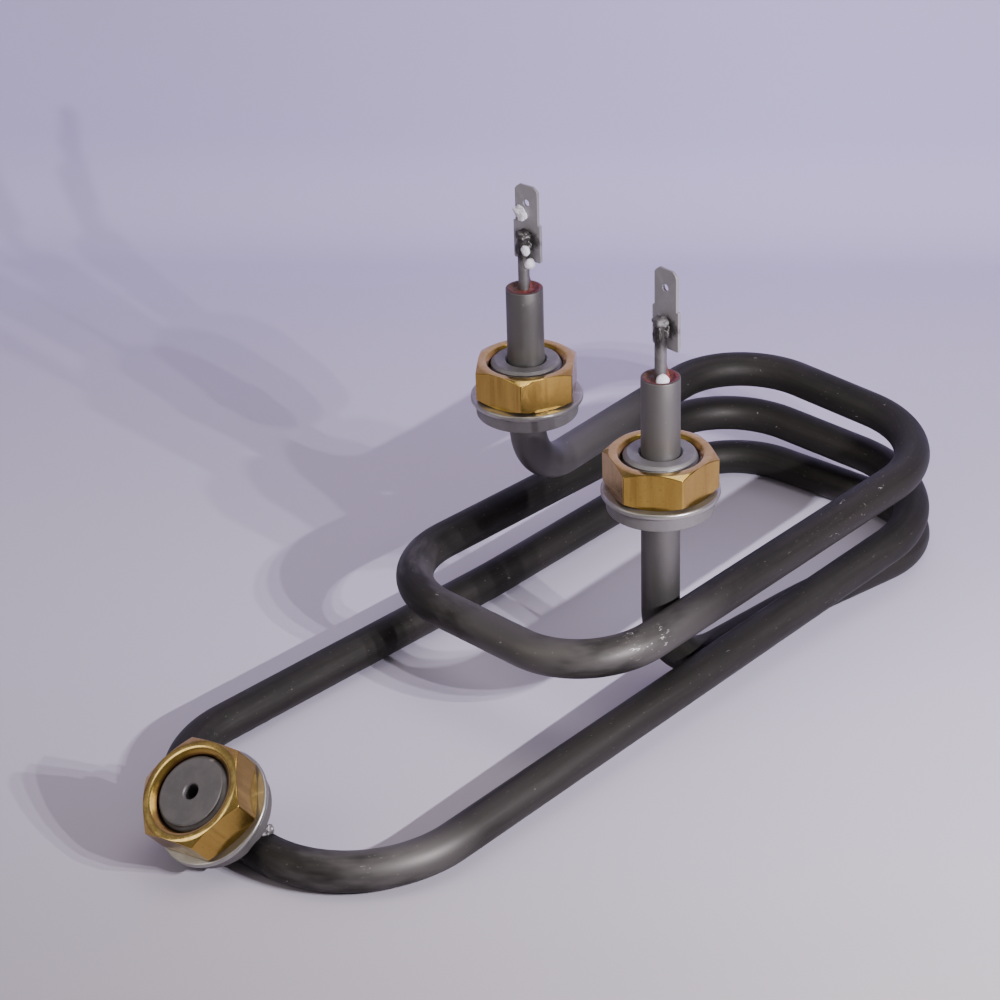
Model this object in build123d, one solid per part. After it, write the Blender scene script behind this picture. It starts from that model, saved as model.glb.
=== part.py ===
from build123d import *
from dataclasses import dataclass
from math import cos, radians, sin, tan
import os

# Driving sizes in millimetres and degrees

# Sheath tube
tube_diameter = 8.5
tube_wall = 0.8

# Long loop on the floor and the shorter turns above it, between centre lines
loop_length = 200.4
short_end_inset = 129.3
middle_turn_inset = 0.5
top_turn_inset = 1.1
end_skew = 1.7
left_end_width = 70.3
short_end_width = 68.3
top_turn_width = 68.6
middle_turn_width = 72.7
bottom_turn_width = 72.4

# Heights of the tube's centre line at its bends
rear_elbow_height = 30.9
top_turn_rear_height = 30.9
top_turn_front_height = 27.7
short_end_front_height = 23.2
short_end_rear_height = 21.1
middle_turn_rear_height = 17.5
middle_turn_front_height = 13.8

# Slight bends part way along three of the long runs, from the far end and inside the loop's width
sag_from_end = 70.4
sag_inset = 0.3
sag_height = 9.3
rear_bow_from_end = 91.4
rear_bow_inset = 2.0
tuck_from_end = 49.9
tuck_inset = 7.9

# Bend radii at the centre line
rear_elbow_radius = 13.4
top_turn_rear_radius = 20.4
top_turn_front_radius = 24.7
short_end_front_radius = 19.3
short_end_rear_radius = 24.4
middle_turn_rear_radius = 21.1
middle_turn_front_radius = 27.9
left_end_front_radius = 27.4
left_end_rear_radius = 25.1
bottom_turn_rear_radius = 19.0
bottom_turn_front_radius = 21.0
front_elbow_radius = 18.6
slight_bend_radius = 200.0

# Terminal legs, from the far end of the loops, and the flanges above the rear elbow
rear_leg_from_end = 83.6
rear_leg_inset = 7.1
front_leg_from_end = 98.1
front_leg_gap = 0.2
flange_above_elbow = 4.0
mouth_above_flange = 31.0

# Flanged studs
flange_diameter = 23.5
flange_thickness = 3.4
flange_edge = 0.3
stem_diameter = 16.4
stem_length = 9.9
stem_chamfer = 0.9
mouth_chamfer = 0.5
tube_clearance = 0.1

# Sensor stud on the end run of the long loop
sensor_tilt = 52.5
sensor_y = 3.9
sensor_seat = 3.9
sensor_climb = 1.6
sensor_stem_less = 0.6
sensor_hole_diameter = 3.3
sensor_hole_depth = 8.0
hole_chamfer = 0.25
drill_point_angle = 118.0
weld_reach = 4.4
weld_drop = 2.4
weld_overhang = 0.9

# Washers
washer_diameter = 25.9
washer_bore = 17.0
washer_thickness = 1.3
washer_edge = 0.45

# Hexagon nuts
nut_across_flats = 22.0
nut_height = 8.5
nut_chamfer_diameter = 21.9
nut_chamfer_angle = 30.0
nut_countersink_diameter = 18.9
thread_clearance = 0.1
rear_nut_turn = 37.6
front_nut_turn = 2.2
sensor_nut_turn = 40.0

# Braze ring under each terminal flange
braze_height = 1.4
braze_width = 1.2
braze_hollow = 0.3

# Terminal pins, resin seals and the parts inside the sheath
pin_diameter = 2.6
pin_chamfer = 0.35
pin_rise = 13.6
pin_below_flange = 1.0
seal_depth = 8.0
seal_lip = 0.3
seal_dish = 1.5
seal_climb = 0.6
inner_clearance = 0.05

# Spade tabs and the weld that joins each to its pin
blade_width = 6.3
shoulder_width = 7.5
tab_thickness = 0.8
tab_rise = 6.2
shoulder_length = 9.0
blade_length = 8.9
blade_corner = 1.3
tab_hole_diameter = 1.7
tab_hole_to_tip = 4.2
rear_tab_turn = 4.8
front_tab_turn = -3.7
tab_weld_radius = 2.0
tab_weld_rise = 10.4

# Sizes that follow from the ones above
tube_radius = tube_diameter / 2
bore_radius = tube_radius - tube_wall
flange_radius = flange_diameter / 2
stem_radius = stem_diameter / 2
pin_radius = pin_diameter / 2
tab_face = pin_radius + inner_clearance
rear_leg_x = loop_length - rear_leg_from_end
rear_leg_y = top_turn_width / 2 - rear_leg_inset
front_leg_x = loop_length - front_leg_from_end
front_leg_y = tube_diameter + front_leg_gap - top_turn_width / 2
flange_height = rear_elbow_height + rear_elbow_radius + flange_above_elbow
terminal_height = flange_height + mouth_above_flange
pin_depth = mouth_above_flange + pin_below_flange


@dataclass
class Bend:
    """Corner of the tube's centre line and the radius that rounds it."""

    x: float
    y: float
    z: float
    radius: float


def route_bends():
    """Bends of the sheath tube, in order from the rear terminal to the front one."""
    top_x = loop_length - top_turn_inset
    short_x = loop_length - short_end_inset
    middle_x = loop_length - middle_turn_inset
    top_y = top_turn_width / 2
    short_y = short_end_width / 2
    middle_y = middle_turn_width / 2
    left_y = left_end_width / 2
    bottom_y = bottom_turn_width / 2
    sag_x = loop_length - sag_from_end
    bow_x = loop_length - rear_bow_from_end
    tuck_x = loop_length - tuck_from_end
    floor = tube_radius
    return [
        Bend(rear_leg_x, rear_leg_y, rear_elbow_height, rear_elbow_radius),
        Bend(top_x, top_y, top_turn_rear_height, top_turn_rear_radius),
        Bend(top_x, -top_y, top_turn_front_height, top_turn_front_radius),
        Bend(short_x - end_skew, -short_y, short_end_front_height, short_end_front_radius),
        Bend(short_x + end_skew, short_y, short_end_rear_height, short_end_rear_radius),
        Bend(middle_x - end_skew, middle_y, middle_turn_rear_height, middle_turn_rear_radius),
        Bend(middle_x + end_skew, -middle_y, middle_turn_front_height, middle_turn_front_radius),
        Bend(sag_x, sag_inset - left_y, sag_height, slight_bend_radius),
        Bend(-end_skew, -left_y, floor, left_end_front_radius),
        Bend(end_skew, left_y, floor, left_end_rear_radius),
        Bend(bow_x, left_y - rear_bow_inset, floor, slight_bend_radius),
        Bend(loop_length - end_skew, bottom_y, floor, bottom_turn_rear_radius),
        Bend(loop_length + end_skew, -bottom_y, floor, bottom_turn_front_radius),
        Bend(tuck_x, tuck_inset - bottom_y, floor, slight_bend_radius),
        Bend(front_leg_x, front_leg_y, floor, front_elbow_radius),
    ]


def centre_line(depth=0.0):
    """Centre line of the tube, cut off at a depth below the mouths of both legs."""
    bends = route_bends()
    corners = [(bend.x, bend.y, bend.z) for bend in bends]
    start = (rear_leg_x, rear_leg_y, terminal_height - depth)
    end = (front_leg_x, front_leg_y, terminal_height - depth)
    return FilletPolyline(start, *corners, end, radius=[bend.radius for bend in bends])


def swept_along(section, path):
    """A section drawn round the origin, swept along a path."""
    return sweep(Plane(origin=path @ 0, z_dir=path % 0) * section, path)


def turned(*points):
    """A closed outline of (radius, height) points, turned about the vertical axis."""
    return revolve(Plane.XZ * make_face(Polyline(*points, close=True)), Axis.Z)


def sheath_tube():
    """Bent sheath with both mouths open."""
    return swept_along(Circle(tube_radius) - Circle(bore_radius), centre_line())


def magnesia_fill():
    """Pressed powder between the sheath and the heating coil, from seal to seal."""
    section = Circle(bore_radius - inner_clearance) - Circle(pin_radius + inner_clearance)
    return swept_along(section, centre_line(seal_depth))


def resistance_coil():
    """Outer form of the heating coil, from the inner end of one pin to the other."""
    return swept_along(Circle(pin_radius), centre_line(pin_depth))


def terminal_pin():
    """Round pin that stands out of the tube's mouth, at height zero."""
    pin = Pos(Z=-pin_depth) * Cylinder(
        pin_radius, pin_depth + pin_rise, align=(Align.CENTER, Align.CENTER, Align.MIN)
    )
    return chamfer(pin.edges().sort_by(Axis.Z)[-1], pin_chamfer)


def resin_seal():
    """Ring of resin between pin and sheath with a dished top just inside the mouth."""
    outer = bore_radius - inner_clearance
    inner = pin_radius + inner_clearance
    lip = (outer, -seal_lip)
    dish = ((outer + inner) / 2, -seal_dish)
    climb = (inner, -seal_climb)
    sides = Polyline(climb, (inner, -seal_depth), (outer, -seal_depth), lip)
    outline = make_face([*sides.edges(), ThreePointArc(lip, dish, climb).edge()])
    return revolve(Plane.XZ * outline, Axis.Z)


def turned_stud(foot_radius, length, *mouth):
    """Flange and stem of a stud, its underside at height zero, with the inner outline given."""
    return turned(
        (foot_radius, 0),
        (flange_radius - flange_edge, 0),
        (flange_radius, flange_edge),
        (flange_radius, flange_thickness - flange_edge),
        (flange_radius - flange_edge, flange_thickness),
        (stem_radius, flange_thickness),
        (stem_radius, flange_thickness + length - stem_chamfer),
        (stem_radius - stem_chamfer, flange_thickness + length),
        *mouth,
    )


def terminal_stud():
    """Flanged sleeve that a leg of the tube passes through."""
    bore = tube_radius + tube_clearance
    top = flange_thickness + stem_length
    return turned_stud(bore, stem_length, (bore + mouth_chamfer, top), (bore, top - mouth_chamfer))


def sensor_stud():
    """Solid stud with a blind hole in its face."""
    hole_radius = sensor_hole_diameter / 2
    length = stem_length - sensor_stem_less
    top = flange_thickness + length
    bottom = top - sensor_hole_depth
    point = hole_radius / tan(radians(drill_point_angle / 2))
    return turned_stud(
        0,
        length,
        (hole_radius + hole_chamfer, top),
        (hole_radius, top - hole_chamfer),
        (hole_radius, bottom),
        (0, bottom - point),
    )


def weld_bar():
    """Bar of weld metal across the underside of the sensor stud's flange."""
    length = flange_diameter + 2 * weld_overhang
    section = Plane.XZ * Polygon(
        (-weld_reach, -inner_clearance),
        (weld_reach, -inner_clearance),
        (weld_reach - weld_drop / 2, -weld_drop),
        (weld_drop / 2 - weld_reach, -weld_drop),
        align=None,
    )
    return extrude(section, length / 2, both=True)


def tube_space():
    """Space that the tube takes up, with the clearance of a close fit."""
    return swept_along(Circle(tube_radius + inner_clearance), centre_line())


def washer():
    """Flat washer with rounded outer edges, its underside at height zero."""
    blank = turned(
        (washer_bore / 2, 0),
        (washer_diameter / 2, 0),
        (washer_diameter / 2, washer_thickness),
        (washer_bore / 2, washer_thickness),
    )
    rims = blank.edges().filter_by(GeomType.CIRCLE).group_by(SortBy.RADIUS)[-1]
    return fillet(rims, washer_edge)


def hex_nut():
    """Chamfered hexagon nut with a countersunk bore, its underside at height zero."""
    flat_radius = nut_across_flats / 2
    corner_radius = flat_radius / cos(radians(30))
    chamfer_radius = nut_chamfer_diameter / 2
    drop = (corner_radius - chamfer_radius) * tan(radians(nut_chamfer_angle))
    bore = stem_radius + thread_clearance
    sink_radius = nut_countersink_diameter / 2
    sink = sink_radius - bore
    blank = extrude(RegularPolygon(flat_radius, 6, major_radius=False), nut_height)
    envelope = turned(
        (bore, sink),
        (sink_radius, 0),
        (chamfer_radius, 0),
        (corner_radius, drop),
        (corner_radius, nut_height - drop),
        (chamfer_radius, nut_height),
        (sink_radius, nut_height),
        (bore, nut_height - sink),
    )
    return blank & envelope


def braze_ring():
    """Concave fillet of braze under a terminal flange, its top at height zero."""
    inner = tube_radius + inner_clearance
    foot = (inner, -braze_height)
    rim = (inner + braze_width, 0)
    hollow = (inner + braze_hollow * braze_width, -braze_hollow * braze_height)
    sides = Polyline(rim, (inner, 0), foot)
    outline = make_face([*sides.edges(), ThreePointArc(foot, hollow, rim).edge()])
    return revolve(Plane.XZ * outline, Axis.Z)


def tab_outline():
    """Spade tab seen from its face, with its lower edge on the first axis."""
    half_blade = blade_width / 2
    half_shoulder = shoulder_width / 2
    height = shoulder_length + blade_length
    blade = Polygon(
        (-half_blade, 0),
        (half_blade, 0),
        (half_blade, height - blade_corner),
        (half_blade - blade_corner, height),
        (blade_corner - half_blade, height),
        (-half_blade, height - blade_corner),
        align=None,
    )
    base = Polygon(
        (-half_shoulder, 0),
        (half_shoulder, 0),
        (half_shoulder, shoulder_length),
        (-half_shoulder, shoulder_length),
        align=None,
    )
    hole = Pos(0, height - tab_hole_to_tip) * Circle(tab_hole_diameter / 2)
    return blade + base - hole


def spade_tab():
    """Flat blade standing beside the pin, placed above the tube's mouth."""
    face = Plane.YZ.offset(tab_face) * Pos(0, tab_rise) * tab_outline()
    return extrude(face, tab_thickness)


def tab_weld():
    """Weld metal round the pin, against the face of the tab."""
    bead = Pos(tab_face, 0, tab_weld_rise) * Sphere(tab_weld_radius)
    reach = 2 * tab_weld_radius + tab_face
    behind = Pos(tab_face - inner_clearance, 0, tab_weld_rise) * Box(
        reach, reach, reach, align=(Align.MIN, Align.CENTER, Align.CENTER)
    )
    pin = Pos(0, 0, tab_weld_rise) * Cylinder(pin_radius + inner_clearance, reach)
    return bead - behind - pin


def sensor_frame():
    """Place of the sensor stud's flange on the end run, with its third axis outwards."""
    tilt = radians(sensor_tilt)
    outwards = Vector(-cos(tilt), 0, sin(tilt))
    run_x = end_skew * sensor_y / (left_end_width / 2)
    on_run = Vector(run_x, sensor_y, tube_radius)
    down = Vector(-sin(tilt), 0, -cos(tilt))
    origin = on_run + outwards * sensor_seat - down * sensor_climb
    return Plane(origin=origin, x_dir=down, z_dir=outwards).location


def washer_and_nut(name, frame, nut_turn):
    """Washer and nut stacked on the flange of a stud."""
    on_flange = frame * Pos(Z=flange_thickness)
    on_washer = on_flange * Pos(Z=washer_thickness)
    return {
        f"washer_{name}": on_flange * washer(),
        f"hex_nut_{name}": on_washer * Rot(Z=nut_turn) * hex_nut(),
    }


def terminal(name, x, y, nut_turn, tab_turn):
    """All pieces that sit on one leg of the tube."""
    mouth = Pos(x, y, terminal_height)
    seat = Pos(x, y, flange_height)
    return {
        f"terminal_pin_{name}": mouth * terminal_pin(),
        f"resin_seal_{name}": mouth * resin_seal(),
        f"spade_tab_{name}": mouth * Rot(Z=tab_turn) * spade_tab(),
        f"tab_weld_{name}": mouth * Rot(Z=tab_turn) * tab_weld(),
        f"flanged_stud_{name}": seat * terminal_stud(),
        f"braze_ring_{name}": seat * braze_ring(),
        **washer_and_nut(name, seat, nut_turn),
    }


def sensor_fitting():
    """Stud welded on the end run of the long loop, with its washer and nut."""
    seat = sensor_frame()
    tube = tube_space()
    return {
        "sensor_stud": seat * sensor_stud() - tube,
        "sensor_weld": seat * Pos(X=sensor_climb) * weld_bar() - tube,
        **washer_and_nut("sensor", seat, sensor_nut_turn),
    }


def heating_element():
    """Every piece by name, in the frame of the bent tube."""
    return {
        "sheath_tube": sheath_tube(),
        "magnesia_fill": magnesia_fill(),
        "resistance_coil": resistance_coil(),
        **terminal("rear", rear_leg_x, rear_leg_y, rear_nut_turn, rear_tab_turn),
        **terminal("front", front_leg_x, front_leg_y, front_nut_turn, front_tab_turn),
        **sensor_fitting(),
    }


def centred(pieces):
    """The pieces moved so that the origin is below the middle of the whole, at its foot."""
    boxes = [piece.bounding_box() for piece in pieces.values()]
    middle_x = (min(box.min.X for box in boxes) + max(box.max.X for box in boxes)) / 2
    middle_y = (min(box.min.Y for box in boxes) + max(box.max.Y for box in boxes)) / 2
    shift = Pos(-middle_x, -middle_y, -min(box.min.Z for box in boxes))
    return {name: shift * piece for name, piece in pieces.items()}


def main():
    os.makedirs("parts", exist_ok=True)
    for name, piece in centred(heating_element()).items():
        export_step(piece, f"parts/{name}.step")


main()
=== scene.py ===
"""Looks of a bent tubular heating element with brass nuts and spade tabs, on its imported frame."""

import logging
import math
from dataclasses import dataclass
from enum import Enum

import bmesh
import bpy
import numpy as np
from mathutils import Matrix, Vector, noise


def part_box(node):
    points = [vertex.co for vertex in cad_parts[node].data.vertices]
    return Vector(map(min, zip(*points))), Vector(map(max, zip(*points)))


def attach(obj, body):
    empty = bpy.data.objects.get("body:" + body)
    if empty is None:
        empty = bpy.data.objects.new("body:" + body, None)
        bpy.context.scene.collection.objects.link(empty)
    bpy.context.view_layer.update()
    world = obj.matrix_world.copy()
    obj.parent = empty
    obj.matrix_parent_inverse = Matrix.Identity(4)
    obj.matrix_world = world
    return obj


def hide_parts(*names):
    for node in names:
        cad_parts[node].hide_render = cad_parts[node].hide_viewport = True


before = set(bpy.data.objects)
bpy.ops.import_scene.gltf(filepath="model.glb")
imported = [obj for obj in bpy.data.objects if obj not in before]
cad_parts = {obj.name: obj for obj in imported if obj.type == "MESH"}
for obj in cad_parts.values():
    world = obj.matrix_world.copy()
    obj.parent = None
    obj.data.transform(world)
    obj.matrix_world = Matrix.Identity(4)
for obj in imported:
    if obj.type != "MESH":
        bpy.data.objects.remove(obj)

MM = 0.001
UP = Vector((0, 0, 1))
log = logging.getLogger("heating_element")

NOISE_SEED = 1
Colour = tuple[float, float, float]
Triple = tuple[float, float, float]
Socket = bpy.types.NodeSocket


class Slot(Enum):
    """Material slots of the record, passed along with each new piece."""

    SHEATH = "sheath"
    TERMINAL = "terminal_steel"
    WELD = "weld_metal"
    RESIN = "resin"
    STUD = "stud_steel"
    PLATED = "plated_steel"
    BRASS = "nut_brass"
    MAGNESIA = "magnesia"


# Geometry helpers, in millimetres


def box_centre(node: str) -> Vector:
    """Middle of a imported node's box in the row frame, in millimetres."""
    low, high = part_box(node)
    return (low + high) / (2 * MM)


def around(columns: int) -> np.ndarray:
    """Even angles round a full circle, in radians."""
    return np.linspace(0, 2 * math.pi, columns, endpoint=False)


def heading(degrees: float) -> Vector:
    """Unit vector in the plane at an angle in degrees."""
    return Vector((math.cos(math.radians(degrees)), math.sin(math.radians(degrees))))


def placed(centre: Vector, axis: Vector = UP) -> Matrix:
    """Place of a piece that is modelled round its own third axis.

    Args:
        centre: Where the piece's origin goes, in millimetres.
        axis: Direction of the piece's third axis.

    Returns:
        The object matrix, in metres.
    """
    side = Vector((0, 1, 0)).cross(axis).normalized()
    axes = Matrix((side, axis.cross(side), axis)).transposed().to_4x4()
    return Matrix.Translation(centre * MM) @ axes


def read_all(items: bpy.types.bpy_prop_collection, name: str, kind: type = float, width: int = 1) -> np.ndarray:
    """Reads one property of every item of a mesh.

    Args:
        items: Vertices, faces or corners.
        name: Name of the property.
        kind: Number type.
        width: Numbers in each item's property.

    Returns:
        The numbers in one row.
    """
    values = np.zeros(len(items) * width, kind)
    items.foreach_get(name, values)
    return values


def weigh_normals(mesh: bpy.types.Mesh) -> None:
    """Gives each vertex the mean normal of its faces, weighted by area, so that flats stay flat.

    Args:
        mesh: Smooth mesh.
    """
    areas = read_all(mesh.polygons, "area")
    normals = read_all(mesh.polygons, "normal", width=3).reshape(-1, 3)
    face = np.repeat(np.arange(len(areas)), read_all(mesh.polygons, "loop_total", np.int32))
    summed = np.zeros((len(mesh.vertices), 3))
    np.add.at(summed, read_all(mesh.loops, "vertex_index", np.int32), (normals * areas[:, None])[face])
    summed /= np.maximum(np.linalg.norm(summed, axis=1), 1e-12)[:, None]
    mesh.normals_split_custom_set_from_vertices(summed.tolist())


def mesh_object(name: str, points: np.ndarray, faces: list, place: Matrix, flats: bool = False) -> bpy.types.Object:
    """Makes a smooth mesh object.

    Args:
        name: Name of the piece.
        points: Vertices in millimetres, in the piece's own frame.
        faces: Vertex numbers of each face.
        place: Object matrix in metres.
        flats: Whether flat faces next to fine fillets keep flat shading.

    Returns:
        The linked object.
    """
    mesh = bpy.data.meshes.new(name)
    mesh.from_pydata((np.asarray(points) * MM).tolist(), [], faces)
    work = bmesh.new()
    work.from_mesh(mesh)
    bmesh.ops.remove_doubles(work, verts=work.verts, dist=1e-8)
    bmesh.ops.recalc_face_normals(work, faces=work.faces)
    for face in work.faces:
        face.smooth = True
    work.to_mesh(mesh)
    work.free()
    if flats:
        weigh_normals(mesh)
    piece = bpy.data.objects.new(name, mesh)
    piece.matrix_world = place
    bpy.context.scene.collection.objects.link(piece)
    return piece


def ring_faces(rows: int, columns: int) -> list:
    """Quads of a grid of rings whose last ring joins the first.

    Args:
        rows: Number of rings.
        columns: Points on each ring.

    Returns:
        Four vertex numbers for each quad.
    """
    quads = []
    for row in range(rows):
        here, there = row * columns, (row + 1) % rows * columns
        for column in range(columns):
            after = (column + 1) % columns
            quads.append((here + column, here + after, there + after, there + column))
    return quads


def ring_piece(
    name: str, rings: np.ndarray, angles: np.ndarray, place: Matrix, flats: bool = True
) -> bpy.types.Object:
    """Makes a closed piece from rings round its third axis.

    Args:
        name: Name of the piece.
        rings: Radius and height of each point in millimetres, ring by ring.
        angles: Angle of each point of a ring, in radians.
        place: Object matrix in metres.
        flats: Whether flat faces next to fine fillets keep flat shading.

    Returns:
        The piece.
    """
    radii, heights = np.moveaxis(rings, 2, 0)
    across = radii * np.cos(angles)
    points = np.stack([across, radii * np.sin(angles), np.broadcast_to(heights, across.shape)], axis=2)
    return mesh_object(name, points.reshape(-1, 3), ring_faces(*across.shape), place, flats)


def eased(*outline: tuple[float, float, float]) -> np.ndarray:
    """Rounds the corners of a closed outline.

    Args:
        *outline: Corners as (radius, height, trim), where trim is how far the rounding reaches.

    Returns:
        The rounded outline as rows of radius and height.
    """
    steps = 4
    longest = 0.45
    corners = [Vector(corner[:2]) for corner in outline]
    points = []
    for index, corner in enumerate(corners):
        trim = outline[index][2]
        if trim == 0:
            points.append(tuple(corner))
            continue
        before = corners[index - 1] - corner
        after = corners[(index + 1) % len(corners)] - corner
        start = corner + before.normalized() * min(trim, longest * before.length)
        end = corner + after.normalized() * min(trim, longest * after.length)
        for step in range(steps + 1):
            share = step / steps
            points.append(tuple(start * (1 - share) ** 2 + corner * (2 * share * (1 - share)) + end * share**2))
    return np.array(points)


def lump(name: str, centre: Vector, size: Triple, seed: float, rough: float, place: Matrix) -> bpy.types.Object:
    """Makes an uneven rounded lump.

    Args:
        name: Name of the piece.
        centre: Middle of the lump in its own frame, in millimetres.
        size: Half sizes along the three axes, in millimetres.
        seed: Offset into the noise that shapes the lump.
        rough: Height of the unevenness as a share of the size.
        place: Object matrix in metres.

    Returns:
        The lump.
    """
    half = Vector(size)
    work = bmesh.new()
    bmesh.ops.create_icosphere(work, subdivisions=4, radius=1)
    points = []
    for vertex in work.verts:
        way = vertex.co.normalized()
        coarse = noise.noise(way * 1.4 + Vector((seed, 0, 0)))
        fine = noise.noise(way * 4.5 + Vector((0, seed, 0)))
        swell = 1 + rough * (coarse + 0.4 * fine)
        points.append([centre[axis] + way[axis] * half[axis] * swell for axis in range(3)])
    faces = [tuple(vertex.index for vertex in face.verts) for face in work.faces]
    work.free()
    return mesh_object(name, np.array(points), faces, place)


def rope(name: str, route: list, radius: float, seed: float, place: Matrix) -> bpy.types.Object:
    """Makes an uneven bead along a route, thinner towards its ends.

    Args:
        name: Name of the piece.
        route: Points that the bead runs through, in millimetres.
        radius: Radius at the middle, in millimetres.
        seed: Offset into the noise that shapes the bead.
        place: Object matrix in metres.

    Returns:
        The bead.
    """
    curve = bpy.data.curves.new(name + "_route", "CURVE")
    curve.dimensions = "3D"
    curve.bevel_depth = radius * MM
    curve.bevel_resolution = 6
    curve.use_fill_caps = True
    spline = curve.splines.new("NURBS")
    spline.points.add(len(route) - 1)
    for index, (point, target) in enumerate(zip(spline.points, route)):
        swell = math.sin(math.pi * index / (len(route) - 1))
        point.co = (*(Vector(target) * MM), 1)
        point.radius = 0.35 + 0.65 * swell + 0.2 * noise.noise(Vector((seed, index, 0)))
    spline.order_u = 3
    spline.use_endpoint_u = True
    spline.resolution_u = 12
    holder = bpy.data.objects.new(name + "_route", curve)
    mesh = bpy.data.meshes.new_from_object(holder)
    bpy.data.objects.remove(holder)
    noise.seed_set(NOISE_SEED)
    points = []
    for vertex in mesh.vertices:
        point = vertex.co / MM
        rough = noise.noise_vector(point * 0.9 / radius + Vector((seed, 0, 0)))
        points.append(tuple(point + radius * 0.35 * rough))
    faces = [tuple(face.vertices) for face in mesh.polygons]
    bpy.data.meshes.remove(mesh)
    return mesh_object(name, np.array(points), faces, place)


# Node helpers


class Nodes:
    """Short ways to add nodes to one tree and join them."""

    def __init__(self, tree: bpy.types.NodeTree) -> None:
        """Starts on the tree of a material or of a group."""
        self.tree = tree

    def add(self, kind: str, **settings: object) -> bpy.types.Node:
        """Adds a node.

        Args:
            kind: Node type without its Shader prefix.
            **settings: Properties of the node.

        Returns:
            The node.
        """
        node = self.tree.nodes.new("ShaderNode" + kind)
        for key, value in settings.items():
            setattr(node, key, value)
        return node

    def feed(self, socket: Socket, value: object) -> None:
        """Links a socket, or sets its value.

        Args:
            socket: Input that takes the value.
            value: Another socket, a number, a vector, or a colour of three numbers.
        """
        if isinstance(value, Socket):
            self.tree.links.new(value, socket)
        else:
            socket.default_value = (*value, 1) if socket.type == "RGBA" else value

    def sum(self, kind: str, operation: str | None, *values: object) -> bpy.types.Node:
        """Adds a node that reckons with numbers or vectors.

        Args:
            kind: Math, VectorMath or a kind without operations.
            operation: Name of the operation, if the kind has several.
            *values: Sockets, numbers or vectors.

        Returns:
            The node.
        """
        node = self.add(kind, **({"operation": operation} if operation else {}))
        for socket, value in zip(node.inputs, values):
            self.feed(socket, value)
        return node

    def plus(self, first: object, second: object) -> Socket:
        """Adds two numbers."""
        return self.sum("Math", "ADD", first, second).outputs[0]

    def minus(self, first: object, second: object) -> Socket:
        """Takes the second number from the first."""
        return self.sum("Math", "SUBTRACT", first, second).outputs[0]

    def times(self, first: object, second: object) -> Socket:
        """Multiplies two numbers."""
        return self.sum("Math", "MULTIPLY", first, second).outputs[0]

    def larger(self, first: object, second: object) -> Socket:
        """The larger of two numbers."""
        return self.sum("Math", "MAXIMUM", first, second).outputs[0]

    def away(self, value: Socket, centre: float = 0.0) -> Socket:
        """How far a number is from a centre, either way."""
        return self.sum("Math", "ABSOLUTE", self.minus(value, centre) if centre else value).outputs[0]

    def measure(self, operation: str, *vectors: object) -> Socket:
        """A number from vectors, such as their DISTANCE."""
        return self.sum("VectorMath", operation, *vectors).outputs["Value"]

    def part(self, vector: Socket, axis: str) -> Socket:
        """One part of a vector, by the letter of its axis."""
        return self.sum("SeparateXYZ", None, vector).outputs[axis]

    def span(self, value: Socket, low: float, high: float, start: float = 0.0, end: float = 1.0) -> Socket:
        """Maps a number smoothly from one range to another.

        Args:
            value: The number.
            low: Value that gives start.
            high: Value that gives end.
            start: Result at low and below.
            end: Result at high and above.

        Returns:
            The mapped number.
        """
        node = self.add("MapRange", interpolation_type="SMOOTHSTEP")
        for socket, number in zip(node.inputs, (value, low, high, start, end)):
            self.feed(socket, number)
        return node.outputs[0]

    def mix(self, factor: object, first: object, second: object) -> Socket:
        """Mixes two colours.

        Args:
            factor: Share of the second colour.
            first: First colour.
            second: Second colour.

        Returns:
            The mixed colour.
        """
        node = self.add("Mix", data_type="RGBA")
        for index, value in ((0, factor), (6, first), (7, second)):
            self.feed(node.inputs[index], value)
        return node.outputs[2]

    def noise(self, vector: Socket, scale: object, detail: float, roughness: float) -> Socket:
        """Plain noise.

        Args:
            vector: Place in the pattern.
            scale: Waves per metre.
            detail: Number of finer layers.
            roughness: Strength of the finer layers.

        Returns:
            Noise from 0 to 1.
        """
        node = self.add("TexNoise")
        values = {"Vector": vector, "Scale": scale, "Detail": detail, "Roughness": roughness}
        for key, value in values.items():
            self.feed(node.inputs[key], value)
        return node.outputs["Fac"]

    def stretched(self, vector: Socket, scale: tuple, turn: float = 0.0) -> Socket:
        """Scales a place in a pattern and turns it.

        Args:
            vector: Place in the pattern.
            scale: Factor along each axis.
            turn: Turn about the second axis in degrees.

        Returns:
            The new place.
        """
        node = self.add("Mapping")
        self.feed(node.inputs["Vector"], vector)
        self.feed(node.inputs["Scale"], scale)
        self.feed(node.inputs["Rotation"], (0, math.radians(turn), 0))
        return node.outputs[0]

    def group(self, effect: bpy.types.NodeTree, **values: object) -> bpy.types.NodeOutputs:
        """Places a shared effect.

        Args:
            effect: Node group.
            **values: Values of its inputs.

        Returns:
            Its outputs by name.
        """
        node = self.add("Group")
        node.node_tree = effect
        for key, value in values.items():
            self.feed(node.inputs[key], value)
        return node.outputs


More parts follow.
